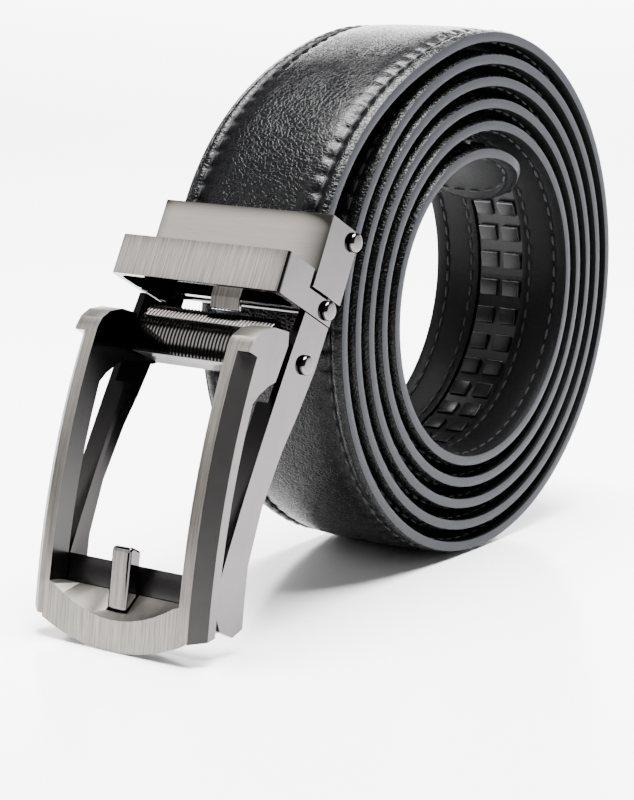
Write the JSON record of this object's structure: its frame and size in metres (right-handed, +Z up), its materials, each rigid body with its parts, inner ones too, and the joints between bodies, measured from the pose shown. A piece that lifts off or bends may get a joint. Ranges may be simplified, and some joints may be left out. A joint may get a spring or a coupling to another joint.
{
  "type": "ratchet belt",
  "caption": "Dark leather belt coiled on its rim, with a toothed adjustment track inside and a metal automatic frame buckle with a clamp, keeper loop, hinged frames and false prong.",
  "frame": {"origin": "centre of the footprint on the floor that the coil and the buckle rest on", "axes": "+X across the strap's width, +Y from the buckle toward the coil, +Z up"},
  "size_m": [0.0432, 0.1706, 0.1158],
  "materials": {
    "leather": "fine grain, satin black, with grey painted edges",
    "track": "dark moulded teeth",
    "brushed_metal": "brushed on the faces, polished on the edges",
    "polished_metal": "polished dark chrome"
  },
  "bodies": {
    "root": {"strap": "leather", "adjustment_track": "track", "clamp": "brushed_metal", "clamp_pin": "polished_metal", "clamp_jaw": "polished_metal"},
    "buckle": {"keeper": "brushed_metal", "hinge_pin": "polished_metal", "back_frame": "polished_metal", "lever_pin": "polished_metal", "pawl": "polished_metal"},
    "lever": {"front_frame": "brushed_metal", "ribbed_bar": "polished_metal", "prong": "brushed_metal"}
  },
  "joints": [
    {"name": "buckle_hinge", "type": "hinge", "parent": "root", "child": "buckle", "pos_m": [0, -0.04289, 0.06252], "axis": [1, 0, 0], "range_deg": [0, 9]},
    {"name": "lever_hinge", "type": "hinge", "parent": "buckle", "child": "lever", "pos_m": [0, -0.0504, 0.05278], "axis": [-1, 0, 0], "range_deg": [0, 25], "stiffness_Nm_per_rad": 0.12, "springref_deg": -34.38}
  ]
}
